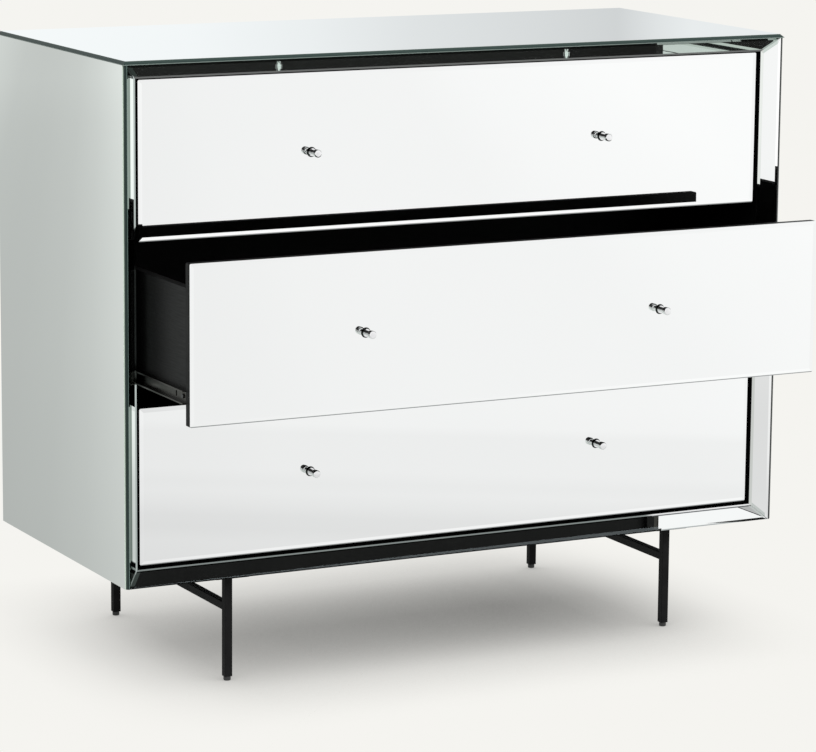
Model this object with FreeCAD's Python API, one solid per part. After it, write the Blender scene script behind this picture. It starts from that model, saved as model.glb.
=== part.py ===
import FreeCAD, Part
import math
import os

# A mirrored chest of three drawers on two low metal leg frames, in millimetres.
# X runs across the front, +Y from the front to the back and +Z up. The origin is on the floor, at
# the middle of the room that the chest takes with its middle drawer part open.

# Overall sizes
chest_width = 1000.0
chest_height = 843.0
leg_height = 148.0

# Mirror panes on the top and the sides, bonded to the boards, with edges bevelled at 45 degrees
pane_thickness = 5.0
pane_bevel = 4.4
glue_line = 0.3

# Four bevelled mirror strips, mitred at the corners, that splay in at 45 degrees round the drawers
strip_width = 29.0
strip_thickness = 4.0
strip_bevel_width = 4.0
strip_bevel_drop = 0.8
strip_end_bevel = 4.0
mitre_gap = 0.3

# Carcass boards, their dowels and the back panel that lies in a rebate
board_thickness = 18.0
dowel_diameter = 8.0
dowel_length = 30.0
dowel_in_side = 12.0
dowel_clearance = 0.1
dowel_shares = (0.2, 0.8)
back_thickness = 5.0
back_recess = 2.0
back_play = 0.5
rebate_width = 8.0
back_screw_length = 14.0
back_screw_diameter = 2.8
back_screw_head = 6.5
back_screw_head_height = 1.6
back_screw_side_shares = (0.1, 0.37, 0.63, 0.9)
back_screw_end_shares = (0.25, 0.5, 0.75)
screw_clearance = 0.15

# Leg frames of square bar: two legs, a rail below the carcass and two screwed plates
bar = 11.0
bar_rounding = 1.0
leg_inset_side = 159.0
leg_inset_end = 31.0
rail_drop = 40.0
plate_screw_spacing = 34.0
plate_screw_edge = 9.0
plate_depth = 40.0
plate_thickness = 3.0
plate_rounding = 4.0
plate_screw_diameter = 4.0
plate_screw_head = 8.5
plate_screw_head_height = 2.6
plate_screw_length = 15.0
glide_diameter = 10.0
glide_height = 6.0
glide_rounding = 1.5
glide_stem_diameter = 5.0
glide_stem_length = 10.0
glide_clearance = 0.1

# Drawer fronts: a bevelled mirror on a thin board, inset behind the splayed strips
drawer_names = ("bottom", "middle", "top")
front_gap_side = 4.6
front_gap_top = 1.5
front_gap_bottom = 4.0
front_gap_between = 5.0
front_setback = 24.0
front_mirror_thickness = 4.0
front_bevel_width = 5.5
front_bevel_drop = 0.8
front_board_thickness = 9.0
front_corner_rounding = 2.0
middle_open = 165.0

# Drawer boxes
side_thickness = 12.0
side_below_front_top = 33.5
side_above_front_bottom = 28.0
box_back_inset = 6.0
box_rounding = 1.0
bottom_thickness = 4.0
bottom_rise = 9.0
groove_depth = 5.0
groove_play = 0.2
peg_diameter = 6.0
peg_in_front = 6.0
peg_in_end = 18.0
peg_in_side = 8.0
peg_shares = (0.4, 0.8)

# Knobs, each held by one screw from inside the drawer
knob_spacing = 443.0
knob_length = 22.0
knob_base_diameter = 10.5
knob_base_length = 3.0
knob_neck_diameter = 7.0
knob_head_diameter = 12.5
knob_head_length = 11.0
knob_head_rounding = 2.2
knob_screw_diameter = 4.0
knob_screw_head = 8.0
knob_screw_head_height = 2.4
knob_screw_grip = 8.0
knob_hole_play = 0.3
knob_glass_play = 1.5

# Ball-bearing slides: a cabinet rail, a drawer rail and a cage of balls that runs between them. Their
# length sets the depth of the drawers and of the chest
slide_thickness = 10.0
slide_setback = 1.0
slide_above_side_edge = 1.0
cabinet_rail_height = 27.0
rail_length = 400.0
rail_end_room = 4.7
rail_sheet = 1.1
rail_bend = 1.5
rail_play = 0.4
cabinet_lip = 1.3
drawer_lip = 0.7
drawer_travel = 300.0
ball_diameter = 3.5
ball_clearance = 0.35
ball_count = 4
cage_sheet = 0.5
cage_play = 0.3
rail_screw_diameter = 3.0
rail_screw_head = 6.0
rail_screw_head_height = 1.8
rail_screw_length = 7.5
countersink_depth = 1.6
cabinet_screw_shares = (0.06, 0.5, 0.92)
drawer_screw_shares = (0.03, 0.45, 0.92)
drawer_slot_shares = (0.085, 0.8)
slot_width = 4.2
slot_length = 7.5

# Places that follow from the sizes above
diagonal_share = math.sqrt(0.5)
half_width = chest_width / 2
front_stack = front_mirror_thickness + glue_line + front_board_thickness
side_length = slide_setback + rail_length
chest_depth = front_setback + front_stack + side_length + rail_end_room + back_thickness + back_recess
front_reach = middle_open - front_setback + knob_length
front_y = (front_reach - chest_depth) / 2
back_y = front_y + chest_depth
pane_under = chest_height - pane_thickness
pane_inner = half_width - pane_thickness
strip_run = strip_width * diagonal_share
side_outer = pane_inner - glue_line
side_inner = side_outer - board_thickness
board_top = pane_under - glue_line
rebate_y = back_y - back_thickness - back_recess
front_half = pane_inner - strip_run - front_gap_side
front_room = pane_under - leg_height - 2 * strip_run - front_gap_top - front_gap_bottom
front_pitch = (front_room + front_gap_between) / len(drawer_names)
front_height = front_pitch - front_gap_between
rail_start = front_y + front_setback + front_stack + slide_setback
box_half = side_inner - slide_thickness
cabinet_rail_half = cabinet_rail_height / 2
ball_row = cabinet_rail_half - rail_sheet - ball_clearance - ball_diameter / 2
drawer_rail_half = ball_row - ball_diameter / 2 - ball_clearance
rail_rise = side_above_front_bottom + slide_above_side_edge + drawer_rail_half
plate_width = plate_screw_spacing + 2 * plate_screw_edge

across = FreeCAD.Vector(1, 0, 0)
backward = FreeCAD.Vector(0, 1, 0)
upward = FreeCAD.Vector(0, 0, 1)


def block(x_span, y_span, z_span):
    """A box between two values on each axis."""
    corner = FreeCAD.Vector(x_span[0], y_span[0], z_span[0])
    return Part.makeBox(x_span[1] - x_span[0], y_span[1] - y_span[0], z_span[1] - z_span[0], corner)


def edges_along(solid, along):
    """The straight edges of a solid that run along a direction."""
    parallel_share = 0.999
    found = []
    for edge in solid.Edges:
        if abs(edge.tangentAt(edge.FirstParameter).dot(along)) > parallel_share:
            found.append(edge)
    return found


def rounded(solid, radius, along):
    """A block whose edges along a direction are rounded off."""
    return solid.makeFillet(radius, edges_along(solid, along))


def rounded_top(solid, radius, along):
    """A board whose two upper edges along a direction are rounded off."""
    upper = [edge for edge in edges_along(solid, along) if edge.BoundBox.ZMin > solid.CenterOfMass.z]
    return solid.makeFillet(radius, upper)


def prism(points, travel):
    """A flat outline of straight lines, drawn out along a vector."""
    return Part.Face(Part.makePolygon(points + points[:1])).extrude(travel)


def layers(outlines):
    """A solid with flat faces from each outline to the next."""
    return Part.makeLoft([Part.makePolygon(points + points[:1]) for points in outlines], True, True)


def rod(diameter, length, start, along):
    """A round rod from a start point along a direction."""
    return Part.makeCylinder(diameter / 2, length, start, along)


def mirrored(shape):
    """The same piece on the other side of the chest."""
    return shape.mirror(FreeCAD.Vector(0, 0, 0), across)


def both_sides(shape):
    """A piece of the right-hand side and its twin on the left."""
    return [shape, mirrored(shape)]


def span_points(low, high, shares):
    """Places between two ends, by their shares of the way."""
    return [low + (high - low) * share for share in shares]


def pan_screw(shank, head, head_height, length, seat, inward, play=0.0):
    """A round-headed screw whose head sits on a seat and whose shank goes inward."""
    outside = FreeCAD.Vector(seat) - FreeCAD.Vector(inward) * head_height
    return rod(shank + 2 * play, length, seat, inward).fuse(rod(head, head_height, outside, inward))


def sunk_screw(seat, inward, play=0.0):
    """A rail screw whose tapered head lies flush with the rail."""
    head = rail_screw_head / 2 + play
    shank = rail_screw_diameter / 2 + play
    taper = Part.makeCone(head, shank, countersink_depth, seat, inward)
    return taper.fuse(rod(2 * shank, rail_screw_length, seat, inward))


# The strips' section, seen along a strip: the distance in from the pane's inner face and the depth
# behind the front plane, from the place across the strip and the depth below its face
def strip_point(across_face, below_face):
    return (across_face - below_face) * diagonal_share, (across_face + below_face) * diagonal_share


def frame_strip(place, length):
    """A mirror strip with bevels on all four edges of its face, cut to the mitre at both ends."""
    end_run = strip_end_bevel * math.sqrt(1 + diagonal_share ** 2)
    outlines = []
    for below, inset, end_inset in (
        (strip_thickness, 0, 0),
        (strip_bevel_drop, 0, 0),
        (0, strip_bevel_width, end_run),
    ):
        ring = []
        for across_face, ends in ((below + inset, (1, -1)), (strip_width - inset, (-1, 1))):
            inward, depth = strip_point(across_face, below)
            reach = length / 2 - inward - mitre_gap / 2 - end_inset
            ring += [place(inward, depth, end * reach) for end in ends]
        outlines.append(ring)
    return layers(outlines)


def board_edge(inward):
    """Where the front edge of a board lies, parallel to the back of the strip bonded to it."""
    return front_y + inward + (strip_thickness + glue_line) / diagonal_share


nodes = {}

# Mirror panes: the top one lies over the two side ones
pane_rings = (
    (pane_under, 0),
    (chest_height - pane_bevel, 0),
    (chest_height, pane_bevel),
)
nodes["top_mirror"] = layers([
    [
        FreeCAD.Vector(-half_width + inset, front_y + inset, z),
        FreeCAD.Vector(half_width - inset, front_y + inset, z),
        FreeCAD.Vector(half_width - inset, back_y, z),
        FreeCAD.Vector(-half_width + inset, back_y, z),
    ]
    for z, inset in pane_rings
])
side_pane = prism(
    [
        FreeCAD.Vector(half_width, front_y + pane_bevel, leg_height),
        FreeCAD.Vector(half_width, back_y, leg_height),
        FreeCAD.Vector(pane_inner, back_y, leg_height),
        FreeCAD.Vector(pane_inner, front_y, leg_height),
        FreeCAD.Vector(half_width - pane_bevel, front_y, leg_height),
    ],
    upward * (pane_under - leg_height),
)
nodes["right_side_mirror"] = side_pane
nodes["left_side_mirror"] = mirrored(side_pane)

# Splayed mirror strips round the front
strip_middle = (leg_height + pane_under) / 2
strip_height = pane_under - leg_height
right_strip = frame_strip(
    lambda inward, depth, run: FreeCAD.Vector(pane_inner - inward, front_y + depth, strip_middle + run),
    strip_height,
)
nodes["right_frame_mirror"] = right_strip
nodes["left_frame_mirror"] = mirrored(right_strip)
nodes["top_frame_mirror"] = frame_strip(
    lambda inward, depth, run: FreeCAD.Vector(run, front_y + depth, pane_under - inward), 2 * pane_inner
)
nodes["bottom_frame_mirror"] = frame_strip(
    lambda inward, depth, run: FreeCAD.Vector(run, front_y + depth, leg_height + inward), 2 * pane_inner
)

# Carcass boards, with front edges cut at 45 degrees to carry the strips
inner_depth = glue_line + board_thickness
side_board = prism(
    [
        FreeCAD.Vector(side_outer, board_edge(glue_line), leg_height),
        FreeCAD.Vector(side_outer, back_y, leg_height),
        FreeCAD.Vector(side_inner + rebate_width, back_y, leg_height),
        FreeCAD.Vector(side_inner + rebate_width, rebate_y, leg_height),
        FreeCAD.Vector(side_inner, rebate_y, leg_height),
        FreeCAD.Vector(side_inner, board_edge(inner_depth), leg_height),
    ],
    upward * (board_top - leg_height),
)


def level_board(outer_z, inner_z, outer_depth):
    """The top or bottom board, which lies between the side boards."""
    return prism(
        [
            FreeCAD.Vector(-side_inner, board_edge(outer_depth), outer_z),
            FreeCAD.Vector(-side_inner, board_edge(outer_depth + board_thickness), inner_z),
            FreeCAD.Vector(-side_inner, rebate_y, inner_z),
            FreeCAD.Vector(-side_inner, rebate_y, outer_z),
        ],
        across * (2 * side_inner),
    )


top_board = level_board(board_top, board_top - board_thickness, glue_line)
bottom_board = level_board(leg_height, leg_height + board_thickness, 0)

# Dowels that join the top and bottom boards to the sides
dowel_rows = span_points(board_edge(inner_depth), rebate_y, dowel_shares)
dowel_levels = (leg_height + board_thickness / 2, board_top - board_thickness / 2)
dowels = []
for dowel_y in dowel_rows:
    for dowel_z in dowel_levels:
        seat = FreeCAD.Vector(side_inner + dowel_in_side, dowel_y, dowel_z)
        hole = rod(dowel_diameter + 2 * dowel_clearance, dowel_length, seat, -across)
        side_board = side_board.cut(hole)
        top_board = top_board.cut(Part.makeCompound(both_sides(hole)))
        bottom_board = bottom_board.cut(Part.makeCompound(both_sides(hole)))
        dowels += both_sides(rod(dowel_diameter, dowel_length, seat, -across))
nodes["carcass_dowels"] = Part.makeCompound(dowels)

# Back panel, screwed to all four boards inside its rebate
back_half = side_inner + rebate_width - back_play
back_panel = block(
    (-back_half, back_half),
    (rebate_y, rebate_y + back_thickness),
    (leg_height + back_play, board_top - back_play),
)
side_screw_x = side_inner + rebate_width / 2
back_spots = []
for level in span_points(leg_height, board_top, back_screw_side_shares):
    back_spots += [(side_screw_x, level), (-side_screw_x, level)]
for place_x in span_points(-side_inner, side_inner, back_screw_end_shares):
    back_spots += [(place_x, level) for level in dowel_levels]
back_screws = []
for place_x, level in back_spots:
    seat = FreeCAD.Vector(place_x, rebate_y + back_thickness, level)
    sizes = (back_screw_diameter, back_screw_head, back_screw_head_height, back_screw_length)
    back_screws.append(pan_screw(*sizes, seat, -backward))
    hole = rod(back_screw_diameter + 2 * screw_clearance, back_screw_length, seat, -backward)
    back_panel = back_panel.cut(hole)
    top_board = top_board.cut(hole)
    bottom_board = bottom_board.cut(hole)
    if place_x > side_inner:
        side_board = side_board.cut(hole)
nodes["back_panel"] = back_panel
nodes["back_panel_screws"] = Part.makeCompound(back_screws)

# Leg frames: welded bar under each end of the carcass, with glides pressed into the legs
leg_x = half_width - leg_inset_side
leg_rows = (front_y + leg_inset_end, back_y - leg_inset_end)
plate_bottom = leg_height - plate_thickness
rail_top = leg_height - rail_drop
leg_span = (leg_x - bar / 2, leg_x + bar / 2)
leg_frame = rounded(block(leg_span, leg_rows, (rail_top - bar, rail_top)), bar_rounding, backward)
glides = []
plate_screws = []
for leg_y in leg_rows:
    leg = block(leg_span, (leg_y - bar / 2, leg_y + bar / 2), (glide_height, plate_bottom))
    plate = block(
        (leg_x - plate_width / 2, leg_x + plate_width / 2),
        (leg_y - plate_depth / 2, leg_y + plate_depth / 2),
        (plate_bottom, leg_height),
    )
    leg_frame = leg_frame.fuse([rounded(leg, bar_rounding, upward), rounded(plate, plate_rounding, upward)])
    foot = FreeCAD.Vector(leg_x, leg_y, 0)
    disc = rod(glide_diameter, glide_height, foot, upward)
    rims = [edge for edge in disc.Edges if edge.isClosed() and edge.BoundBox.ZMax < glide_height / 2]
    stem_seat = foot + upward * glide_height
    stem = rod(glide_stem_diameter, glide_stem_length, stem_seat, upward)
    glides += both_sides(disc.makeFillet(glide_rounding, rims).fuse(stem))
    stem_room = glide_stem_length + glide_clearance
    leg_frame = leg_frame.cut(rod(glide_stem_diameter + 2 * glide_clearance, stem_room, stem_seat, upward))
    for side in (-1, 1):
        seat = FreeCAD.Vector(leg_x + side * plate_screw_spacing / 2, leg_y, plate_bottom)
        sizes = (plate_screw_diameter, plate_screw_head, plate_screw_head_height, plate_screw_length)
        plate_screws += both_sides(pan_screw(*sizes, seat, upward))
        hole = rod(plate_screw_diameter + 2 * screw_clearance, plate_screw_length, seat, upward)
        leg_frame = leg_frame.cut(hole)
        bottom_board = bottom_board.cut(Part.makeCompound(both_sides(hole)))
leg_frame = leg_frame.removeSplitter()
nodes["right_leg_frame"] = leg_frame
nodes["left_leg_frame"] = mirrored(leg_frame)
nodes["leg_glides"] = Part.makeCompound(glides)
nodes["leg_plate_screws"] = Part.makeCompound(plate_screws)
nodes["top_board"] = top_board
nodes["bottom_board"] = bottom_board


# Slides. A rail's section is drawn as the distance in from the side board and the height above the
# slide's middle, upper half first, and runs along the chest
def rail(upper, height, start, length):
    outline = upper + [(inward, -rise) for inward, rise in reversed(upper)]
    points = [FreeCAD.Vector(side_inner - inward, start, height + rise) for inward, rise in outline]
    return prism(points, backward * length)


def bent_rail(upper, height, start, length):
    """A rail whose outermost corners are bent round."""
    shape = rail(upper, height, start, length)
    outer = max(rise for inward, rise in upper)
    limit = outer - rail_sheet / 2
    bends = [edge for edge in edges_along(shape, backward) if abs(edge.CenterOfMass.z - height) > limit]
    return shape.makeFillet(rail_bend, bends)


def slot(place):
    """A cutter for an upright slot through the drawer rail's web."""
    reach = (slot_length - slot_width) / 2
    depth = 3 * rail_sheet
    start = place - across * rail_sheet
    ends = [rod(slot_width, depth, start + upward * side * reach, across) for side in (-1, 1)]
    middle = block(
        (start.x, start.x + depth),
        (place.y - slot_width / 2, place.y + slot_width / 2),
        (place.z - reach, place.z + reach),
    )
    return middle.fuse(ends)


cabinet_tip = slide_thickness - rail_sheet - rail_play
cabinet_inner = cabinet_rail_half - rail_sheet
cabinet_lip_low = cabinet_inner - cabinet_lip
cabinet_section = [
    (0, cabinet_rail_half),
    (cabinet_tip, cabinet_rail_half),
    (cabinet_tip, cabinet_lip_low),
    (cabinet_tip - rail_sheet, cabinet_lip_low),
    (cabinet_tip - rail_sheet, cabinet_inner),
    (rail_sheet, cabinet_inner),
]
cage_web = rail_sheet + cage_play
drawer_tip = cage_web + cage_sheet + cage_play
drawer_section = [
    (slide_thickness, drawer_rail_half),
    (drawer_tip + rail_sheet, drawer_rail_half),
    (drawer_tip + rail_sheet, drawer_rail_half + drawer_lip),
    (drawer_tip, drawer_rail_half + drawer_lip),
    (drawer_tip, drawer_rail_half - rail_sheet),
    (slide_thickness - rail_sheet, drawer_rail_half - rail_sheet),
]
ball_inward = (drawer_tip + cabinet_tip) / 2
cage_section = [
    (cage_web, ball_row + cage_sheet / 2),
    (cabinet_tip - rail_play, ball_row + cage_sheet / 2),
    (cabinet_tip - rail_play, ball_row - cage_sheet / 2),
    (cage_web + cage_sheet, ball_row - cage_sheet / 2),
]
cage_length = rail_length - drawer_travel


def ball_cage(height, start):
    """The pressed strip that spaces two rows of balls, and its balls."""
    strip = rail(cage_section, height, start, cage_length)
    balls = []
    for number in range(ball_count):
        ball_y = start + cage_length * (number + 1 / 2) / ball_count
        for rise in (-ball_row, ball_row):
            centre = FreeCAD.Vector(side_inner - ball_inward, ball_y, height + rise)
            pocket = rod(ball_diameter + 2 * cage_play, 2 * cage_sheet, centre - upward * cage_sheet, upward)
            strip = strip.cut(pocket)
            balls.append(Part.makeSphere(ball_diameter / 2, centre))
    return [strip] + balls


def knob(centre):
    """A turned knob with a base, a neck and a round-edged head, bored for its screw."""
    base = rod(knob_base_diameter, knob_base_length, centre, -backward)
    neck = rod(knob_neck_diameter, knob_length - knob_head_length, centre, -backward)
    head_seat = centre - backward * (knob_length - knob_head_length)
    head = rod(knob_head_diameter, knob_head_length, head_seat, -backward)
    rims = [edge for edge in head.Edges if edge.isClosed()]
    bore = rod(knob_screw_diameter + 2 * screw_clearance, knob_screw_grip + knob_hole_play, centre, -backward)
    return head.makeFillet(knob_head_rounding, rims).fuse([base, neck]).cut(bore)


# The three drawers, from the lowest up, each with its slides
cabinet_screws = []
for index, name in enumerate(drawer_names):
    opened = middle_open if name == "middle" else 0
    mirror_y = front_y + front_setback - opened
    board_y = mirror_y + front_mirror_thickness + glue_line
    box_y = mirror_y + front_stack
    front_z = leg_height + strip_run + front_gap_bottom + index * front_pitch
    front_top = front_z + front_height
    side_z = front_z + side_above_front_bottom
    side_top = front_top - side_below_front_top
    rail_z = front_z + rail_rise

    # Front: a bevelled mirror bonded to its board
    front_rings = (
        (mirror_y + front_mirror_thickness, 0),
        (mirror_y + front_bevel_drop, 0),
        (mirror_y, front_bevel_width),
    )
    outline = block((-front_half, front_half), (mirror_y, box_y), (front_z, front_top))
    outline = rounded(outline, front_corner_rounding, backward)
    front_mirror = layers([
        [
            FreeCAD.Vector(-front_half + inset, y, front_z + inset),
            FreeCAD.Vector(front_half - inset, y, front_z + inset),
            FreeCAD.Vector(front_half - inset, y, front_top - inset),
            FreeCAD.Vector(-front_half + inset, y, front_top - inset),
        ]
        for y, inset in front_rings
    ])
    front_mirror = front_mirror.common(outline)
    front_board = block((-front_half, front_half), (board_y, box_y), (front_z, front_top))
    front_board = rounded(front_board, front_corner_rounding, backward)

    # Box: two sides, a back that stands on the bottom, and a bottom held in grooves
    side = block((box_half - side_thickness, box_half), (box_y, box_y + side_length), (side_z, side_top))
    side = rounded_top(side, box_rounding, backward)
    box_inner = box_half - side_thickness
    back_face = box_y + side_length - box_back_inset
    bottom_z = side_z + bottom_rise
    bottom_half = box_inner + groove_depth - groove_play
    box_bottom = block(
        (-bottom_half, bottom_half), (box_y, back_face), (bottom_z, bottom_z + bottom_thickness)
    )
    groove = block(
        (box_inner, box_inner + groove_depth),
        (box_y, back_face + groove_play),
        (bottom_z - groove_play, bottom_z + bottom_thickness + groove_play),
    )
    side = side.cut(groove)
    box_back = block(
        (-box_inner, box_inner),
        (back_face - side_thickness, back_face),
        (bottom_z + bottom_thickness, side_top),
    )
    box_back = rounded_top(box_back, box_rounding, across)

    # Pegs glued into the front and the back corners
    pegs = []
    peg_play = 2 * dowel_clearance
    for level in span_points(side_z, side_top, peg_shares):
        front_seat = FreeCAD.Vector(box_half - side_thickness / 2, box_y - peg_in_front, level)
        back_seat = FreeCAD.Vector(box_inner + peg_in_side, back_face - side_thickness / 2, level)
        for seat, along, length in (
            (front_seat, backward, peg_in_front + peg_in_end),
            (back_seat, -across, peg_in_side + peg_in_end),
        ):
            hole = rod(peg_diameter + peg_play, length, seat, along)
            side = side.cut(hole)
            front_board = front_board.cut(Part.makeCompound(both_sides(hole)))
            box_back = box_back.cut(Part.makeCompound(both_sides(hole)))
            pegs += both_sides(rod(peg_diameter, length, seat, along))

    # Knobs and the screws that hold them
    knobs = []
    knob_screws = []
    for place_x in (-knob_spacing / 2, knob_spacing / 2):
        face = FreeCAD.Vector(place_x, mirror_y, front_z + front_height / 2)
        inside = face + backward * front_stack
        grip = front_stack + knob_screw_grip
        knobs.append(knob(face))
        sizes = (knob_screw_diameter, knob_screw_head, knob_screw_head_height, grip)
        knob_screws.append(pan_screw(*sizes, inside, -backward))
        glass_hole = rod(knob_screw_diameter + 2 * knob_glass_play, front_stack, face, backward)
        front_mirror = front_mirror.cut(glass_hole)
        board_hole = rod(knob_screw_diameter + 2 * knob_hole_play, front_stack, face, backward)
        front_board = front_board.cut(board_hole)

    # Slides: the cabinet rail stays, the drawer rail goes with the drawer and the cage goes half as far
    cabinet_rail = bent_rail(cabinet_section, rail_z, rail_start, rail_length)
    drawer_rail = rail(drawer_section, rail_z, rail_start - opened, rail_length)
    cage = ball_cage(rail_z, rail_start + drawer_travel / 2 - opened / 2)
    rail_screws = []
    for place_y in span_points(rail_start, rail_start + rail_length, cabinet_screw_shares):
        seat = FreeCAD.Vector(side_inner - rail_sheet, place_y, rail_z)
        cabinet_screws += both_sides(sunk_screw(seat, across))
        cabinet_rail = cabinet_rail.cut(sunk_screw(seat, across, screw_clearance))
        side_board = side_board.cut(sunk_screw(seat, across, screw_clearance))
    drawer_rail_span = (rail_start - opened, rail_start - opened + rail_length)
    for place_y in span_points(*drawer_rail_span, drawer_slot_shares):
        drawer_rail = drawer_rail.cut(slot(FreeCAD.Vector(box_half, place_y, rail_z)))
    for place_y in span_points(*drawer_rail_span, drawer_screw_shares):
        seat = FreeCAD.Vector(box_half + rail_sheet, place_y, rail_z)
        sizes = (rail_screw_diameter, rail_screw_head, rail_screw_head_height, rail_screw_length)
        rail_screws += both_sides(pan_screw(*sizes, seat, -across))
        hole = rod(rail_screw_diameter + 2 * screw_clearance, rail_screw_length, seat, -across)
        drawer_rail = drawer_rail.cut(hole)
        side = side.cut(hole)

    nodes[name + "_front_mirror"] = front_mirror
    nodes[name + "_front_board"] = front_board
    nodes[name + "_drawer_right_side"] = side
    nodes[name + "_drawer_left_side"] = mirrored(side)
    nodes[name + "_drawer_back"] = box_back
    nodes[name + "_drawer_bottom"] = box_bottom
    nodes[name + "_drawer_pegs"] = Part.makeCompound(pegs)
    nodes[name + "_knobs"] = Part.makeCompound(knobs)
    nodes[name + "_knob_screws"] = Part.makeCompound(knob_screws)
    nodes[name + "_cabinet_rails"] = Part.makeCompound(both_sides(cabinet_rail))
    nodes[name + "_drawer_rails"] = Part.makeCompound(both_sides(drawer_rail))
    nodes[name + "_rail_screws"] = Part.makeCompound(rail_screws)
    nodes[name + "_ball_cages"] = Part.makeCompound([twin for piece in cage for twin in both_sides(piece)])

nodes["cabinet_rail_screws"] = Part.makeCompound(cabinet_screws)
nodes["right_side_board"] = side_board
nodes["left_side_board"] = mirrored(side_board)

os.makedirs("parts", exist_ok=True)
for node_name, shape in nodes.items():
    shape.exportStep("parts/" + node_name + ".step")
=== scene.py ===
import math

import bmesh
import bpy
from mathutils import Matrix, Vector


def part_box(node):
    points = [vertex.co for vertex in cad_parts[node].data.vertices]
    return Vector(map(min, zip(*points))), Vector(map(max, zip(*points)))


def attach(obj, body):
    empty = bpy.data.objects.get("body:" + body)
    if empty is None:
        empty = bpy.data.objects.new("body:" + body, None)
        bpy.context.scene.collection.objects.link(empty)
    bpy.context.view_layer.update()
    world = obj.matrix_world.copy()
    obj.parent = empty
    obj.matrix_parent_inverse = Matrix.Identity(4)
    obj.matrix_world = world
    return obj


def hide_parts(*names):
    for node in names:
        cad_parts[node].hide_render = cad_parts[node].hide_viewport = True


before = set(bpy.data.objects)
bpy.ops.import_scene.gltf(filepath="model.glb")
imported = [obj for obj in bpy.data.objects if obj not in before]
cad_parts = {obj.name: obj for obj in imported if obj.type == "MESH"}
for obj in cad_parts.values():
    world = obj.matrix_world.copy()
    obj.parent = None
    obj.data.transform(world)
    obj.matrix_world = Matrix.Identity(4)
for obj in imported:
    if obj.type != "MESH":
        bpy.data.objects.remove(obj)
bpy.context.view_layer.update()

# Leg frames. Square steel bar welded into two low frames, powder coated black with a fine grain,
# and screwed up under the bottom board through a plate on each leg.
LEG_BLACKS = ((0.009, 0.009, 0.0092), (0.013, 0.013, 0.0133))
LEG_PATCHES = 60.0
LEG_GRAIN = 1400.0
LEG_GRAIN_DEPTH = 0.00004
LEG_ROUGHNESS = (0.42, 0.6)
LEG_SHINE = 0.04
NOISE_RANGE = (0.3, 0.7)
NOISE_DETAIL = 3.0


def new_finish(name, roughness=0.5, metallic=0.0):
    """A material with its tree, its surface shader and the piece's own coordinates."""
    finish = bpy.data.materials.new(name)
    finish.use_nodes = True
    tree = finish.node_tree
    surface = tree.nodes["Principled BSDF"]
    surface.inputs["Roughness"].default_value = roughness
    surface.inputs["Metallic"].default_value = metallic
    place = tree.nodes.new("ShaderNodeTexCoord").outputs["Object"]
    return finish, tree, surface, place


def speckle(tree, place, scale, stretch=(1, 1, 1)):
    """A noise pattern of about so many grains to the metre, drawn out where stretch is under one."""
    mapping = tree.nodes.new("ShaderNodeMapping")
    mapping.inputs["Scale"].default_value = stretch
    noise = tree.nodes.new("ShaderNodeTexNoise")
    noise.inputs["Scale"].default_value = scale
    noise.inputs["Detail"].default_value = NOISE_DETAIL
    tree.links.new(place, mapping.inputs["Vector"])
    tree.links.new(mapping.outputs["Vector"], noise.inputs["Vector"])
    return noise.outputs["Fac"]


def ranged(tree, value, start, end, low=0.0, high=1.0, change="LINEAR"):
    """A value that goes from low to high as another goes from start to end."""
    node = tree.nodes.new("ShaderNodeMapRange")
    node.interpolation_type = change
    node.inputs["From Min"].default_value = start
    node.inputs["From Max"].default_value = end
    node.inputs["To Min"].default_value = low
    node.inputs["To Max"].default_value = high
    tree.links.new(value, node.inputs["Value"])
    return node.outputs["Result"]


def graded(tree, value, *stops):
    """A colour that follows a value through stops, each a value and its colour."""
    low, high = stops[0][0], stops[-1][0]
    ramp = tree.nodes.new("ShaderNodeValToRGB")
    tones = ramp.color_ramp.elements
    tones[0].color = (*stops[0][1], 1)
    tones[1].color = (*stops[-1][1], 1)
    for level, colour in stops[1:-1]:
        tones.new((level - low) / (high - low)).color = (*colour, 1)
    tree.links.new(ranged(tree, value, low, high), ramp.inputs["Fac"])
    return ramp.outputs["Color"]


def tint(tree, surface, pattern, tones):
    """Colours a surface from one tone to another over a pattern."""
    tree.links.new(graded(tree, pattern, *zip(NOISE_RANGE, tones)), surface.inputs["Base Color"])


def roughen(tree, surface, pattern, limits):
    """Takes a surface's roughness from one limit to another over a pattern."""
    tree.links.new(ranged(tree, pattern, *NOISE_RANGE, *limits), surface.inputs["Roughness"])


def relief(tree, surface, pattern, depth):
    """Gives a surface bumps of a real depth in metres."""
    bump = tree.nodes.new("ShaderNodeBump")
    bump.inputs["Strength"].default_value = 1.0
    bump.inputs["Distance"].default_value = depth
    tree.links.new(pattern, bump.inputs["Height"])
    tree.links.new(bump.outputs["Normal"], surface.inputs["Normal"])


def dress(finish, *names):
    """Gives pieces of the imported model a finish."""
    for name in names:
        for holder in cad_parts[name].material_slots:
            holder.material = finish


powder, tree, surface, place = new_finish("black_powder_coat")
coat_grain = speckle(tree, place, LEG_GRAIN)
tint(tree, surface, speckle(tree, place, LEG_PATCHES), LEG_BLACKS)
roughen(tree, surface, coat_grain, LEG_ROUGHNESS)
relief(tree, surface, coat_grain, LEG_GRAIN_DEPTH)
surface.inputs["Specular IOR Level"].default_value = LEG_SHINE
dress(powder, "left_leg_frame", "right_leg_frame")

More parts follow.
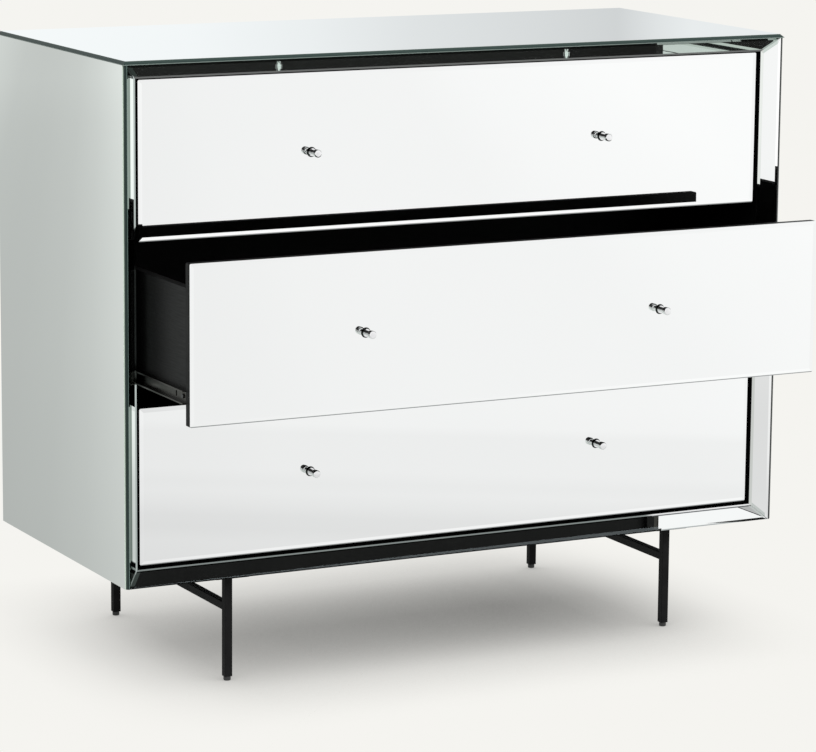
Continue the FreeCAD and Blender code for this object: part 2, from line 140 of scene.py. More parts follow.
# Leg glides. Moulded black plastic feet, one under each leg, that keep the steel off the floor.
# Each has a stem that is pressed up into the end of the bar.
GLIDE_BLACKS = ((0.014, 0.014, 0.014), (0.026, 0.026, 0.026))
GLIDE_PATCHES = 500.0
GLIDE_GRAIN = 2500.0
GLIDE_GRAIN_DEPTH = 0.00002
GLIDE_ROUGHNESS = 0.55
glide, tree, surface, place = new_finish("glide_plastic", GLIDE_ROUGHNESS)
tint(tree, surface, speckle(tree, place, GLIDE_PATCHES), GLIDE_BLACKS)
relief(tree, surface, speckle(tree, place, GLIDE_GRAIN), GLIDE_GRAIN_DEPTH)
dress(glide, "leg_glides")

# Screws. Steel with a black plating. They hold the leg plates and the back panel by heads that stand
# proud, and the cabinet rails of the slides by countersunk heads.
PLATING_TONES = ((0.06, 0.06, 0.062), (0.13, 0.13, 0.135))
PLATING_PATCHES = 900.0
PLATING_GRAIN = 2200.0
PLATING_ROUGHNESS = (0.3, 0.5)
PLATING_METALLIC = 0.9
plated, tree, surface, place = new_finish("black_plated_steel", metallic=PLATING_METALLIC)
tint(tree, surface, speckle(tree, place, PLATING_PATCHES), PLATING_TONES)
roughen(tree, surface, speckle(tree, place, PLATING_GRAIN), PLATING_ROUGHNESS)
dress(plated, "leg_plate_screws", "back_panel_screws", "cabinet_rail_screws")

# Carcass boards and back panel. Fibreboard with a matt black lacquer, dowelled and glued at the
# corners; the back lies in a rebate and is screwed on.
LACQUER_BLACKS = ((0.004, 0.004, 0.0042), (0.007, 0.007, 0.0072))
LACQUER_PATCHES = 14.0
LACQUER_CLOUDS = 35.0
LACQUER_PEEL = 420.0
LACQUER_PEEL_DEPTH = 0.00003
LACQUER_ROUGHNESS = (0.42, 0.55)
LACQUER_SHINE = 0.12
lacquer, tree, surface, place = new_finish("black_lacquer")
tint(tree, surface, speckle(tree, place, LACQUER_PATCHES), LACQUER_BLACKS)
roughen(tree, surface, speckle(tree, place, LACQUER_CLOUDS), LACQUER_ROUGHNESS)
relief(tree, surface, speckle(tree, place, LACQUER_PEEL), LACQUER_PEEL_DEPTH)
surface.inputs["Specular IOR Level"].default_value = LACQUER_SHINE
dress(lacquer, "top_board", "bottom_board", "left_side_board", "right_side_board", "back_panel")

# Dowels and pegs. Short rods of plain beech, glued into bores where the boards of the carcass and of
# the drawer boxes meet, and hidden by them.
DRAWERS = ("top", "middle", "bottom")
BEECH_TONES = ((0.5, 0.34, 0.19), (0.68, 0.5, 0.32))
BEECH_FIBRES = 700.0
BEECH_FIBRE_STRETCH = (0.08, 1, 1)
BEECH_FIBRE_DEPTH = 0.00005
BEECH_ROUGHNESS = 0.6
beech, tree, surface, place = new_finish("beech", BEECH_ROUGHNESS)
fibre = speckle(tree, place, BEECH_FIBRES, BEECH_FIBRE_STRETCH)
tint(tree, surface, fibre, BEECH_TONES)
relief(tree, surface, fibre, BEECH_FIBRE_DEPTH)
dress(beech, "carcass_dowels", *[level + "_drawer_pegs" for level in DRAWERS])

# Mirror glass. Silvered float glass bonded to the boards: bright faces and ground bevels, green polished
# edges, and grey protective paint on the back. An edge's tones go from the back to the face: the green of
# the glass with painted light and dark lines across it, a painted highlight by the face on the left pane,
# and painted shade on the right pane and the drawer fronts.
SILVERS = ((0.955, 0.967, 0.962), (0.965, 0.975, 0.97))
SILVER_PATCHES = 3.0
SILVER_GRAIN = 900.0
SILVER_ROUGHNESS = (0.004, 0.016)
# Painted light and dark lines over the green of the glass, from the back to the face.
EDGE_TONES = (
    (0.0, (0.21, 0.265, 0.245)),
    (0.16, (0.19, 0.24, 0.22)),
    (0.24, (0.018, 0.03, 0.028)),
    (0.42, (0.045, 0.07, 0.064)),
    (0.78, (0.05, 0.074, 0.067)),
    (1.0, (0.09, 0.125, 0.11)),
)
# Painted highlight: the left pane's edge, much lighter towards the face.
EDGE_TONES_PAINTED_LIGHT = (
    (0.0, (0.15, 0.22, 0.2)),
    (0.1, (0.14, 0.2, 0.185)),
    (0.17, (0.022, 0.036, 0.034)),
    (0.72, (0.05, 0.072, 0.064)),
    (0.82, (0.5, 0.6, 0.52)),
    (1.0, (0.8, 0.92, 0.82)),
)
# Painted shade: the right pane's and the fronts' edges, nearly black.
EDGE_TONES_PAINTED_SHADE = (
    (0.0, (0.007, 0.009, 0.0085)),
    (0.8, (0.006, 0.008, 0.0075)),
    (1.0, (0.02, 0.027, 0.024)),
)
EDGE_ROUGHNESS = 0.1
EDGE_SHINE = 0.03
BACK_PAINTS = ((0.05, 0.05, 0.052), (0.07, 0.07, 0.073))
BACK_PAINT_GRAIN = 300.0
BACK_PAINT_ROUGHNESS = 0.6
FACE_LIMIT = 0.9
BEVEL_BEND = 0.52
VECTOR = "ShaderNodeVectorMath"
NUMBER = "ShaderNodeMath"


def joined(tree, kind, operation, first, second):
    """A maths node's result from two sockets, numbers or vectors."""
    node = tree.nodes.new(kind)
    node.operation = operation
    for socket, value in zip(node.inputs, (first, second)):
        if isinstance(value, bpy.types.NodeSocket):
            tree.links.new(value, socket)
        else:
            socket.default_value = value
    return node.outputs["Value" if operation in ("DOT_PRODUCT", "DISTANCE") else 0]


def layered(tree, share, under, over):
    """A shader that goes from one shader node to another as share goes from 0 to 1."""
    mix = tree.nodes.new("ShaderNodeMixShader")
    tree.links.new(share, mix.inputs["Fac"])
    tree.links.new(under.outputs[0], mix.inputs[1])
    tree.links.new(over.outputs[0], mix.inputs[2])
    return mix


def colour_mix(tree, share, first, second, blend="MIX"):
    """A colour that goes from first to second, or to their blend, as share goes from 0 to 1."""
    node = tree.nodes.new("ShaderNodeMix")
    node.data_type = "RGBA"
    node.blend_type = blend
    ends = [socket for socket in node.inputs if socket.type == "RGBA"]
    for socket, value in zip((node.inputs["Factor"], *ends), (share, first, second)):
        if isinstance(value, bpy.types.NodeSocket):
            tree.links.new(value, socket)
        elif socket.type == "RGBA":
            socket.default_value = (*value, 1)
        else:
            socket.default_value = value
    return next(socket for socket in node.outputs if socket.type == "RGBA")


def banded(tree, surface, distance, *stops):
    """Tones the silver by stops along a distance."""
    silver = surface.inputs["Base Color"]
    plain = silver.links[0].from_socket
    tree.links.new(colour_mix(tree, 1, plain, graded(tree, distance, *stops), "MULTIPLY"), silver)


def extent(node, direction):
    """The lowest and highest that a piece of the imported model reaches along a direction."""
    reach = [corner.co.dot(direction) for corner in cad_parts[node].data.vertices]
    return min(reach), max(reach)


def mirror_finish(name, facing, node, edge_tones=EDGE_TONES):
    """Mirror on the faces that look along facing, within a bevel's slope of it, and glass edges elsewhere."""
    finish, tree, surface, place = new_finish(name, metallic=1.0)
    ahead = Vector(facing).normalized()
    outward = place.node.outputs["Normal"]
    slope = joined(tree, VECTOR, "DOT_PRODUCT", outward, ahead)

    # A bevel bends light towards the thicker glass, so its image leans the other way from its slope.
    leaning = joined(tree, VECTOR, "MULTIPLY", outward, (-BEVEL_BEND, -BEVEL_BEND, -BEVEL_BEND))
    upright = joined(tree, VECTOR, "ADD", leaning, (1 + BEVEL_BEND) * ahead)
    image_normal = joined(tree, VECTOR, "NORMALIZE", upright, (0, 0, 0))
    tree.links.new(image_normal, surface.inputs["Normal"])
    tint(tree, surface, speckle(tree, place, SILVER_PATCHES), SILVERS)
    roughen(tree, surface, speckle(tree, place, SILVER_GRAIN), SILVER_ROUGHNESS)

    # The depth through the glass, from 0 at the back to 1 at the face, tones the polished edge, with painted
    # light and dark lines across it.
    edge = tree.nodes.new("ShaderNodeBsdfPrincipled")
    edge.inputs["Roughness"].default_value = EDGE_ROUGHNESS
    edge.inputs["Specular IOR Level"].default_value = EDGE_SHINE
    back, face = extent(node, ahead)
    level = joined(tree, VECTOR, "DOT_PRODUCT", place, ahead)
    raised = joined(tree, NUMBER, "SUBTRACT", level, back)
    depth = joined(tree, NUMBER, "DIVIDE", raised, face - back)
    tree.links.new(graded(tree, depth, *edge_tones), edge.inputs["Base Color"])

    paint = tree.nodes.new("ShaderNodeBsdfPrincipled")
    paint.inputs["Roughness"].default_value = BACK_PAINT_ROUGHNESS
    tint(tree, paint, speckle(tree, place, BACK_PAINT_GRAIN), BACK_PAINTS)
    front = layered(tree, joined(tree, NUMBER, "GREATER_THAN", slope, FACE_LIMIT), edge, surface)
    whole = layered(tree, joined(tree, NUMBER, "LESS_THAN", slope, -FACE_LIMIT), front, paint)
    tree.links.new(whole.outputs[0], tree.nodes["Material Output"].inputs["Surface"])
    dress(finish, node)
    return tree, surface, front, place, slope


mirror_finish("top_mirror_glass", (0, 0, 1), "top_mirror")
mirror_finish("left_mirror_glass", (-1, 0, 0), "left_side_mirror", EDGE_TONES_PAINTED_LIGHT)
mirror_finish("right_mirror_glass", (1, 0, 0), "right_side_mirror", EDGE_TONES_PAINTED_SHADE)

# Splayed frame. Four narrow mirror strips, bevelled on every edge and mitred at the corners, bonded to
# the slanted front edges of the boards. Their bevels, rims and mitres carry painted reflections, highlights
# and shade.
STRIP_BEVEL = 0.0042
BEVEL_LIMIT = 0.99
BAND_FADE = 0.0005
RIM_FADE = 0.012
RIM_ROUGHNESS = 0.05
TO_FRONT = (0, -1, 0)
WHOLE = (1, 1, 1)


def overlap(tree, first, *others):
    """A share that is whole only where all of several shares are."""
    for other in others:
        first = joined(tree, NUMBER, "MULTIPLY", first, other)
    return first


def painted_wedge_area(tree, across, along, inset, outer, start, painted_wedge):
    """Where the painted wedge of reflection lies: from inset to a width off the outer edge that grows along
    the strip to its end.
    """
    narrow, wide = painted_wedge["widths"]
    climb = (wide - narrow) / (painted_wedge["end"] - start)
    lowered = joined(tree, NUMBER, "SUBTRACT", across, joined(tree, NUMBER, "MULTIPLY", along, climb))
    below = joined(tree, NUMBER, "LESS_THAN", lowered, outer + narrow - climb * start)
    above = joined(tree, NUMBER, "GREATER_THAN", across, inset)
    before = joined(tree, NUMBER, "LESS_THAN", along, painted_wedge["end"])
    return overlap(tree, below, above, before)


def strip_finish(
    side, facing, inward, lengthwise, outer_width, painted_outer_tone, rim_width, painted_rim_tone, painted_mitre_tones,
    face_tone=WHOLE, dust=0.0, lit_rim=True, painted_arris_line=None, painted_wedge=None,
):
    """A mirror strip, with painted reflection tones at its outer bevel, and painted reflections, lines and
    highlights along its inner rim and at its mitres.
    """
    node = side + "_frame_mirror"
    tree, surface, front, place, slope = mirror_finish(side + "_strip_glass", facing, node)
    width = Vector(inward).normalized()
    length = Vector(lengthwise)
    across = joined(tree, VECTOR, "DOT_PRODUCT", place, width)
    along = joined(tree, VECTOR, "DOT_PRODUCT", place, length)
    outer, inner = extent(node, width)
    start, end = extent(node, length)
    inset = outer + outer_width
    rim = inner - rim_width
    inner_tone = face_tone if lit_rim else painted_rim_tone
    # Painted reflection tones on the outer bevel and along the inner rim.
    banded(
        tree, surface, across,
        (outer, painted_outer_tone), (inset, painted_outer_tone), (inset + BAND_FADE, WHOLE), (inner, WHOLE),
    )
    banded(
        tree, surface, across,
        (outer, face_tone), (rim - BAND_FADE, face_tone), (rim, inner_tone), (inner, inner_tone),
    )
    surface.inputs["Metallic"].default_value = 1 - dust

    # Light that enters by a ground rim comes back towards the front: a mirror turned to the front shows it,
    # in painted tones of reflection, highlight and shade.
    glow = tree.nodes.new("ShaderNodeBsdfPrincipled")
    glow.inputs["Metallic"].default_value = 1.0
    glow.inputs["Roughness"].default_value = RIM_ROUGHNESS
    tree.links.new(joined(tree, VECTOR, "ADD", TO_FRONT, (0, 0, 0)), glow.inputs["Normal"])
    ground = joined(tree, NUMBER, "LESS_THAN", slope, BEVEL_LIMIT)
    past_outer = joined(tree, NUMBER, "GREATER_THAN", across, outer + STRIP_BEVEL)
    before_inner = joined(tree, NUMBER, "LESS_THAN", across, inner - STRIP_BEVEL)
    lit = overlap(tree, ground, past_outer, before_inner)
    # Painted reflection tones at the mitres, one at each end.
    tone = graded(tree, along, *zip((start, end), painted_mitre_tones))
    # A painted dark line just inside the rim, and a painted highlight on the rim from a given point on.
    if painted_arris_line:
        line = rim - painted_arris_line["width"]
        line_tone = painted_arris_line["tone"]
        banded(tree, surface, across, (line - BAND_FADE, WHOLE), (line, line_tone), (rim, line_tone))
        bright = painted_arris_line["bright_from"]
        painted_rim_tone = graded(tree, along, (bright - RIM_FADE, painted_rim_tone), (bright, painted_arris_line["painted_highlight_tone"]))
    if lit_rim:
        on_rim = joined(tree, NUMBER, "GREATER_THAN", across, rim)
        tone = colour_mix(tree, on_rim, tone, painted_rim_tone)
        lit = joined(tree, NUMBER, "MAXIMUM", lit, on_rim)
    # A painted wedge of grey reflection by the outer edge, widening towards its end, mixed in at a share.
    if painted_wedge:
        on_painted_wedge = painted_wedge_area(tree, across, along, inset, outer, start, painted_wedge)
        tone = colour_mix(tree, on_painted_wedge, tone, painted_wedge["tone"])
        faint = joined(tree, NUMBER, "MULTIPLY", on_painted_wedge, painted_wedge["share"])
        lit = joined(tree, NUMBER, "MAXIMUM", lit, faint)
    tree.links.new(tone, glow.inputs["Base Color"])
    tree.links.new(layered(tree, lit, surface, glow).outputs[0], front.inputs[2])


# Each strip's outer, rim and mitre tones are painted reflections, highlights and shade.
strip_finish(
    "top",
    facing=(0, -1, -1),
    inward=(0, 1, -1),
    lengthwise=(1, 0, 0),
    outer_width=0.004,
    painted_outer_tone=(0.42, 0.44, 0.43),
    rim_width=0.0048,
    painted_rim_tone=(0.15, 0.155, 0.152),
    painted_mitre_tones=((0.03, 0.04, 0.036), (0.4, 0.47, 0.43)),
    face_tone=(0.9, 0.965, 0.93),
    dust=0.025,
)
right_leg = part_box("right_leg_frame")[0][0]
strip_finish(
    "bottom",
    facing=(0, -1, 1),
    inward=(0, 1, 1),
    lengthwise=(1, 0, 0),
    outer_width=0.0014,
    painted_outer_tone=(0.46, 0.48, 0.48),
    rim_width=0.0026,
    painted_rim_tone=(0.28, 0.315, 0.305),
    painted_mitre_tones=((0.05, 0.062, 0.057), (0.6, 0.64, 0.62)),
    # A painted dark line inside the rim, and a painted highlight on the rim from the right leg outwards.
    painted_arris_line={
        "width": 0.0018,
        "tone": (0.16, 0.165, 0.17),
        "bright_from": right_leg,
        "painted_highlight_tone": (0.95, 0.96, 0.96),
    },
    # A painted wedge of grey reflection along the lower edge, widening up to the right leg.
    painted_wedge={
        "end": right_leg,
        "widths": (0.0018, 0.0068),
        "tone": (0.43, 0.49, 0.51),
        "share": 0.2,
    },
)
strip_finish(
    "left",
    facing=(1, -1, 0),
    inward=(1, 1, 0),
    lengthwise=(0, 0, 1),
    outer_width=0.009,
    painted_outer_tone=(0.2, 0.25, 0.22),
    rim_width=0.008,
    painted_rim_tone=(0.5, 0.56, 0.54),
    painted_mitre_tones=((0.25, 0.29, 0.27), (0.03, 0.038, 0.035)),
)
strip_finish(
    "right",
    facing=(-1, -1, 0),
    inward=(-1, 1, 0),
    lengthwise=(0, 0, 1),
    outer_width=0.004,
    painted_outer_tone=WHOLE,
    rim_width=0.004,
    painted_rim_tone=(0.78, 0.8, 0.77),
    painted_mitre_tones=((0.6, 0.64, 0.62), (0.6, 0.67, 0.63)),
    lit_rim=False,
)

# Slides. Pressed steel channels with a dark zinc plate, one screwed to the carcass and one to the
# drawer's side, and a cage of balls that runs between them.
ZINC_TONES = ((0.05, 0.048, 0.045), (0.1, 0.095, 0.088))
ZINC_GRAIN = 900.0
ZINC_GRAIN_STRETCH = (1, 0.03, 1)
ZINC_GRAIN_DEPTH = 0.00001
ZINC_ROUGHNESS = (0.26, 0.42)
zinc, tree, surface, place = new_finish("zinc_plated_steel", metallic=1.0)
rolled = speckle(tree, place, ZINC_GRAIN, ZINC_GRAIN_STRETCH)
tint(tree, surface, rolled, ZINC_TONES)
roughen(tree, surface, rolled, ZINC_ROUGHNESS)
relief(tree, surface, rolled, ZINC_GRAIN_DEPTH)
for level in DRAWERS:
    dress(zinc, level + "_cabinet_rails", level + "_drawer_rails", level + "_ball_cages")
    dress(plated, level + "_rail_screws")

# Drawer boxes. Fibreboard sides, back and bottom, wrapped in a black foil with a faint embossed grain.
# The corners are pegged, and the bottom lies in grooves.
FOIL_BLACKS = ((0.003, 0.003, 0.0031), (0.005, 0.005, 0.0051))
FOIL_PATCHES = 20.0
FOIL_GRAIN = 600.0
FOIL_GRAIN_STRETCH = (1, 0.05, 1)
FOIL_GRAIN_DEPTH = 0.000008
FOIL_ROUGHNESS = (0.42, 0.56)
FOIL_SHINE = 0.2
foil, tree, surface, place = new_finish("black_foil")
emboss = speckle(tree, place, FOIL_GRAIN, FOIL_GRAIN_STRETCH)
tint(tree, surface, speckle(tree, place, FOIL_PATCHES), FOIL_BLACKS)
roughen(tree, surface, emboss, FOIL_ROUGHNESS)
relief(tree, surface, emboss, FOIL_GRAIN_DEPTH)
surface.inputs["Specular IOR Level"].default_value = FOIL_SHINE
for level in DRAWERS:
    box = level + "_drawer_"
    dress(foil, box + "left_side", box + "right_side", box + "back", box + "bottom")

# Drawer fronts. A mirror bevelled all round, bonded to a thin black board. Both are drilled for the
# screws of the two knobs, and the hole in the glass shows as a dark ring round each knob's base.
FRONT_RIM = 0.001
PAINTED_FRONT_RIM_TONE = (0.32, 0.33, 0.33)
HOLE_RADIUS = 0.0066
HOLE_TONE = (0.03, 0.034, 0.032)


def knob_row(level):
    """Half the spacing of a drawer's knobs, their height, where they seat and their length."""
    lowest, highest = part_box(level + "_knobs")
    radius = (highest[2] - lowest[2]) / 2
    return highest[0] - radius, (lowest[2] + highest[2]) / 2, highest[1], highest[1] - lowest[1]


for level in DRAWERS:
    dress(lacquer, level + "_front_board")
    pane = level + "_front_mirror"
    # The front glass's edges take the painted shade tones.
    tree, surface, _, place, _ = mirror_finish(level + "_front_glass", TO_FRONT, pane, EDGE_TONES_PAINTED_SHADE)
    upward = joined(tree, VECTOR, "DOT_PRODUCT", place, (0, 0, 1))
    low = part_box(pane)[0][2]
    rim = low + FRONT_RIM
    # A painted dark reflection along the bottom edge of the mirror.
    banded(tree, surface, upward, (low, PAINTED_FRONT_RIM_TONE), (rim, PAINTED_FRONT_RIM_TONE), (rim + BAND_FADE, WHOLE))
    half_spacing, height, _, _ = knob_row(level)
    flat = joined(tree, VECTOR, "MULTIPLY", place, (1, 0, 1))
    folded = joined(tree, VECTOR, "ABSOLUTE", flat, (0, 0, 0))
    from_knob = joined(tree, VECTOR, "DISTANCE", folded, (half_spacing, 0, height))
    hole_stops = ((0, HOLE_TONE), (HOLE_RADIUS, HOLE_TONE), (HOLE_RADIUS + BAND_FADE, WHOLE))
    banded(tree, surface, from_knob, *hole_stops)

# Knobs. Turned brass with a polished chrome plate: a flat base, a slim neck and a round-edged head, each
# bored for the screw that holds it from inside the drawer.
KNOB_BASE = 0.0105
KNOB_BASE_LENGTH = 0.003
KNOB_NECK = 0.0066
KNOB_HEAD = 0.0104
KNOB_HEAD_LENGTH = 0.009
KNOB_ROUNDING = 0.0016
KNOB_ROUNDING_STEPS = 4
KNOB_BORE = 0.0044
KNOB_BORE_DEPTH = 0.0083
KNOB_SIDES = 48
KNOB_CREASE = math.radians(40)
FULL_TURN = math.radians(360)
MERGE_REACH = 0.000001
CHROME_TONES = ((0.84, 0.845, 0.85), (0.9, 0.9, 0.905))
CHROME_PATCHES = 200.0
CHROME_GRAIN = 1500.0
CHROME_ROUGHNESS = (0.03, 0.08)


def turn_knob(form, seat, length):
    """Spins a knob's outline about its axis, from its seat on the mirror towards the front."""
    neck_end = length - KNOB_HEAD_LENGTH
    outline = (
        (0, KNOB_BORE_DEPTH), (KNOB_BORE, KNOB_BORE_DEPTH), (KNOB_BORE, 0), (KNOB_BASE, 0),
        (KNOB_BASE, KNOB_BASE_LENGTH), (KNOB_NECK, KNOB_BASE_LENGTH), (KNOB_NECK, neck_end),
        (KNOB_HEAD, neck_end), (KNOB_HEAD, length), (0, length),
    )
    corners = [form.verts.new(seat + Vector((width / 2, -reach, 0))) for width, reach in outline]
    lines = [form.edges.new(pair) for pair in zip(corners, corners[1:])]
    bmesh.ops.spin(
        form, geom=corners + lines, cent=seat, axis=(0, 1, 0), angle=FULL_TURN, steps=KNOB_SIDES,
        use_merge=True,
    )


def head_rims(form, half_spacing, height, head_back):
    """The round edges of the knobs' heads, front and back."""
    rims = []
    for edge in form.edges:
        first, second = (corner.co for corner in edge.verts)
        axis = math.copysign(half_spacing, first.x)
        radius = min(math.hypot(end.x - axis, end.z - height) for end in (first, second))
        round_edge = abs(first.y - second.y) < MERGE_REACH
        if round_edge and first.y < head_back + MERGE_REACH and radius > KNOB_NECK / 2 + MERGE_REACH:
            rims.append(edge)
    return rims


chrome, tree, surface, place = new_finish("polished_chrome", metallic=1.0)
tint(tree, surface, speckle(tree, place, CHROME_PATCHES), CHROME_TONES)
roughen(tree, surface, speckle(tree, place, CHROME_GRAIN), CHROME_ROUGHNESS)
for level in DRAWERS:
    half_spacing, height, seat, length = knob_row(level)
    form = bmesh.new()
    for across in (-half_spacing, half_spacing):
        turn_knob(form, Vector((across, seat, height)), length)
    bmesh.ops.remove_doubles(form, verts=form.verts, dist=MERGE_REACH)
    bmesh.ops.recalc_face_normals(form, faces=form.faces)
    bmesh.ops.bevel(
        form, geom=head_rims(form, half_spacing, height, seat - length + KNOB_HEAD_LENGTH),
        offset=KNOB_ROUNDING, segments=KNOB_ROUNDING_STEPS, profile=0.5, affect="EDGES", material=-1,
    )
    for face in form.faces:
        face.smooth = True
    shape = bpy.data.meshes.new(level + "_turned_knobs")
    form.to_mesh(shape)
    form.free()
    shape.set_sharp_from_angle(angle=KNOB_CREASE)
    shape.materials.append(chrome)
    knobs = bpy.data.objects.new(level + "_turned_knobs", shape)
    bpy.context.scene.collection.objects.link(knobs)
    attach(knobs, level + "_drawer")
    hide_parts(level + "_knobs")
    dress(plated, level + "_knob_screws")

# Floor. A wide pale sweep of studio paper that fills the background and darkens close under the chest.
# Mirrors see it with painted light and shade: grey to the left, where the room is dim, white to the right,
# and a painted shadow close round the chest.
PAPER = (0.913, 0.905, 0.871)
FLOOR_REACH = 40.0
SHADE_REACH = 0.28
SHADE_SAMPLES = 16
SHADE_ACROSS = (
    (-0.57, 0.05), (-0.5, 0.25), (-0.45, 0.4), (-0.4, 0.53), (-0.36, 0.68), (-0.327, 0.79),
    (-0.25, 0.86), (-0.16, 0.9), (-0.05, 0.95), (0.05, 0.98), (0.2, 0.98), (0.27, 0.93),
    (0.335, 0.8), (0.39, 0.58), (0.47, 0.25), (0.56, 0.03),
)
SHADE_BACK = ((0.1, 1.0), (0.27, 0.91))
PAPER_SLANT = 0.415
PAPER_BEHIND = (
    (-0.6, 0.69), (-0.56, 0.655), (-0.535, 0.625), (-0.492, 0.575), (-0.427, 0.525), (-0.341, 0.498),
    (-0.285, 0.492), (-0.21, 0.5), (0.3, 0.8),
)
PAPER_BEHIND_HUE = (0.975, 1.02, 0.985)
PAPER_FAR = ((0.5, 0.89), (1.1, 0.94), (2.3, 1.0), (4.3, 1.05), (5.8, 1.09), (7.0, 1.16))
PAPER_AHEAD = (
    (-5.0, 1.11), (-2.5, 0.98), (-1.2, 0.88), (-0.5, 0.885), (-0.4, 0.895), (-0.25, 0.914),
    (0.0, 0.924), (0.3, 0.929), (0.5, 0.934), (0.75, 0.963), (1.0, 0.978), (1.3, 1.0),
)
PAPER_NEAR_SLANT = -0.6
PAPER_NEAR = (
    (-2.2, 1.0), (-1.95, 0.99), (-1.85, 0.95), (-1.67, 0.95), (-1.49, 0.95), (-1.37, 0.92),
    (-1.28, 0.93), (-1.17, 0.895), (-1.07, 0.85), (-0.97, 0.84), (-0.86, 0.87), (-0.5, 0.84),
    (-0.25, 0.83), (-0.15, 1.0),
)
PAPER_TURN = (-0.3, 0.3)
DIM_LEFT = ((-1.8, 0.28), (-0.4, 1.0))
DIM_NEAR = ((-0.8, 1.0), (-0.5, 0.8))
DIM_HUE = (0.95, 1.0, 0.97)
ONE_MIRRORING = 1.5


def levels(tree, value, stops, hue=WHOLE):
    """A hue whose brightness follows a value through stops."""
    return graded(tree, value, *[(spot, [level * part for part in hue]) for spot, level in stops])


def eased(tree, value, start, end):
    """A share that goes smoothly from 0 at start to 1 at end."""
    return ranged(tree, value, start, end, change="SMOOTHSTEP")


bpy.ops.mesh.primitive_plane_add(size=2 * FLOOR_REACH)
floor = bpy.context.object
floor.name = "floor"
paper, tree, surface, place = new_finish("studio_paper")
tree.nodes.remove(surface)
spread = tree.nodes.new("ShaderNodeSeparateXYZ")
tree.links.new(place, spread.inputs["Vector"])
sideways = spread.outputs["X"]
backward = spread.outputs["Y"]

# What is seen straight on: plain paper, shaded under the chest by occlusion, with the shadow's depth painted
# by place, full in the middle and fading towards the ends and the back.
shelter = tree.nodes.new("ShaderNodeAmbientOcclusion")
shelter.samples = SHADE_SAMPLES
shelter.inputs["Color"].default_value = (*PAPER, 1)
shelter.inputs["Distance"].default_value = SHADE_REACH
shade_across = levels(tree, sideways, SHADE_ACROSS)
shade = colour_mix(tree, 1, shade_across, levels(tree, backward, SHADE_BACK), "MULTIPLY")
shaded = colour_mix(tree, shade, PAPER, shelter.outputs["Color"])

# What mirrors and metal see: paper with painted light and shade by place, and painted dimming to the left and
# close to the chest where one mirror shows another.
slanted = joined(tree, VECTOR, "DOT_PRODUCT", place, (1, PAPER_SLANT, 0))
near_slanted = joined(tree, VECTOR, "DOT_PRODUCT", place, (PAPER_NEAR_SLANT, 1, 0))
near = levels(tree, near_slanted, PAPER_NEAR)
ahead = colour_mix(tree, 1, levels(tree, slanted, PAPER_AHEAD), near, "MULTIPLY")
far = levels(tree, backward, PAPER_FAR, PAPER_BEHIND_HUE)
behind = colour_mix(tree, 1, levels(tree, slanted, PAPER_BEHIND), far, "MULTIPLY")
mirrored = colour_mix(tree, eased(tree, backward, *PAPER_TURN), ahead, behind)
dim_near = levels(tree, backward, DIM_NEAR, DIM_HUE)
dim = colour_mix(tree, 1, dim_near, levels(tree, sideways, DIM_LEFT), "MULTIPLY")
rays = tree.nodes.new("ShaderNodeLightPath")
again = joined(tree, NUMBER, "GREATER_THAN", rays.outputs["Glossy Depth"], ONE_MIRRORING)
mirrored = colour_mix(tree, again, mirrored, dim, "MULTIPLY")
glow = tree.nodes.new("ShaderNodeEmission")
tree.links.new(colour_mix(tree, rays.outputs["Is Glossy Ray"], shaded, mirrored), glow.inputs["Color"])
tree.links.new(glow.outputs["Emission"], tree.nodes["Material Output"].inputs["Surface"])
floor.data.materials.append(paper)

# Light. Soft even studio light from all round, with a broad lamp at the front that reflections leave out.
# Mirrors and metal see a bright studio, greyer behind to the right. Where one shows another, the front
# of the room is dark under a grey ceiling, and after a few mirrorings it is bright again.
SKY = (0.3, 0.3, 0.3)
LAMP_STRENGTH = 0.7
LAMP_WIDTH = 40
LAMP_TURN = (45, 0, 10)
STUDIO = (1.0, 1.0, 1.0)
OVERHEAD = (0.95, 0.96, 0.96)
OVERHEAD_RISE = (0.4, 0.7)
ROOM = (0.03, 0.03, 0.03)
ROOM_RISE = (0.02, 0.08)
CEILING_RISE = (0.74, 0.8)
CEILING_SHARE = 0.45
THREE_MIRRORINGS = 3.5
BEHIND = (
    (0.3, 0.98), (0.37, 0.945), (0.4, 0.93), (0.43, 0.865), (0.455, 0.77), (0.485, 0.705),
    (0.503, 0.655), (0.512, 0.77), (0.52, 0.84), (0.6, 0.88),
)
BEHIND_HUE = (0.975, 1.01, 1.02)
BEHIND_TURN = (0.0, 0.3)
world = bpy.data.worlds.new("studio")
bpy.context.scene.world = world
world.use_nodes = True
tree = world.node_tree
around = tree.nodes.new("ShaderNodeSeparateXYZ")
tree.links.new(tree.nodes.new("ShaderNodeTexCoord").outputs["Generated"], around.inputs["Vector"])
rise = around.outputs["Z"]
rays = tree.nodes.new("ShaderNodeLightPath")
mirrorings = rays.outputs["Glossy Depth"]
again = joined(tree, NUMBER, "GREATER_THAN", mirrorings, ONE_MIRRORING)
few = joined(tree, NUMBER, "LESS_THAN", mirrorings, THREE_MIRRORINGS)
ceiling = joined(tree, NUMBER, "MULTIPLY", eased(tree, rise, *CEILING_RISE), CEILING_SHARE)
below_ceiling = joined(tree, NUMBER, "SUBTRACT", 1, ceiling)
dark = overlap(tree, eased(tree, rise, *ROOM_RISE), again, few, below_ceiling)
front = colour_mix(tree, dark, STUDIO, ROOM)
behind = levels(tree, around.outputs["X"], BEHIND, BEHIND_HUE)
walls = colour_mix(tree, eased(tree, around.outputs["Y"], *BEHIND_TURN), front, behind)
once = joined(tree, NUMBER, "SUBTRACT", 1, again)
high = overlap(tree, eased(tree, rise, *OVERHEAD_RISE), once)
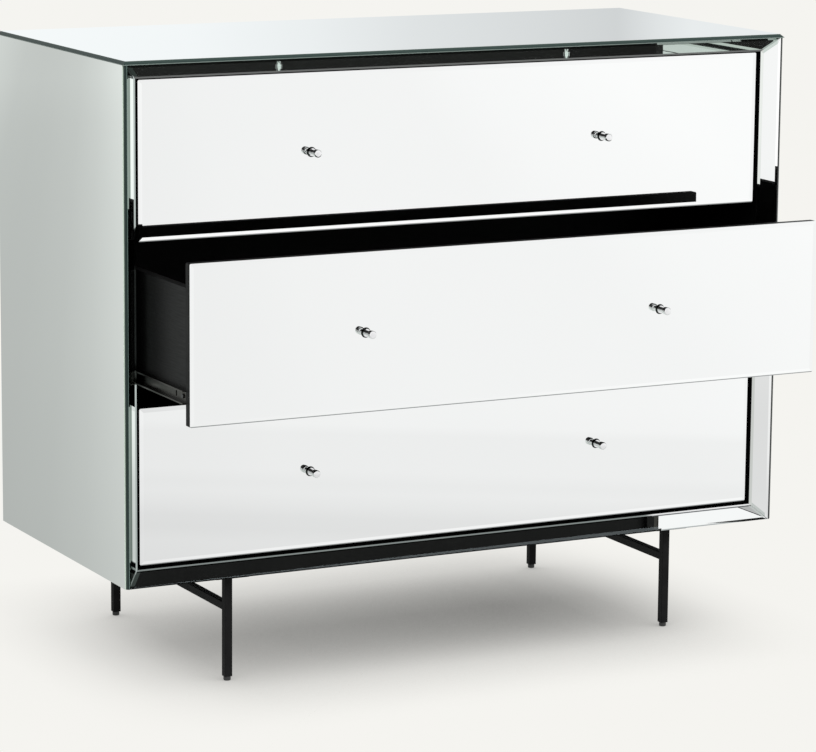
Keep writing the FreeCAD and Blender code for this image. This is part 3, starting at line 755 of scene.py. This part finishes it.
studio = colour_mix(tree, high, walls, OVERHEAD)
lit = colour_mix(tree, rays.outputs["Is Glossy Ray"], SKY, studio)
seen = colour_mix(tree, rays.outputs["Is Camera Ray"], lit, PAPER)
tree.links.new(seen, tree.nodes["Background"].inputs["Color"])
lamp = bpy.data.lights.new("broad_lamp", "SUN")
lamp.energy = math.pi * LAMP_STRENGTH
lamp.angle = math.radians(LAMP_WIDTH)
lamp_holder = bpy.data.objects.new("broad_lamp", lamp)
lamp_holder.rotation_euler = [math.radians(turn) for turn in LAMP_TURN]
lamp_holder.visible_glossy = False
bpy.context.scene.collection.objects.link(lamp_holder)

# Camera. A long lens at the photograph's angle, from the front left and a little above, with angles in
# radians. Its path through the mirrors is long, so light may bounce often.
CAMERA_PLACE = (-2.32683, -4.51143, 1.32987)
CAMERA_YAW = 0.4738
CAMERA_PITCH = 0.1868
CAMERA_ROLL = 0.0089
CAMERA_LENS = 163.24
CAMERA_SENSOR = 36.0
LIGHT_BOUNCES = 24
MIRROR_BOUNCES = 16
forward = Vector((
    math.sin(CAMERA_YAW) * math.cos(CAMERA_PITCH),
    math.cos(CAMERA_YAW) * math.cos(CAMERA_PITCH),
    -math.sin(CAMERA_PITCH),
))
level_right = Vector((math.cos(CAMERA_YAW), -math.sin(CAMERA_YAW), 0))
level_up = level_right.cross(forward)
right = math.cos(CAMERA_ROLL) * level_right + math.sin(CAMERA_ROLL) * level_up
up = right.cross(forward)
camera = bpy.data.cameras.new("camera")
camera.lens = CAMERA_LENS
camera.sensor_width = CAMERA_SENSOR
camera_holder = bpy.data.objects.new("camera", camera)
camera_turn = Matrix((right, up, -forward)).transposed().to_4x4()
camera_holder.matrix_world = Matrix.Translation(CAMERA_PLACE) @ camera_turn
bpy.context.scene.collection.objects.link(camera_holder)
bpy.context.scene.camera = camera_holder
bpy.context.scene.view_settings.view_transform = "Standard"
bpy.context.scene.cycles.max_bounces = LIGHT_BOUNCES
bpy.context.scene.cycles.glossy_bounces = MIRROR_BOUNCES
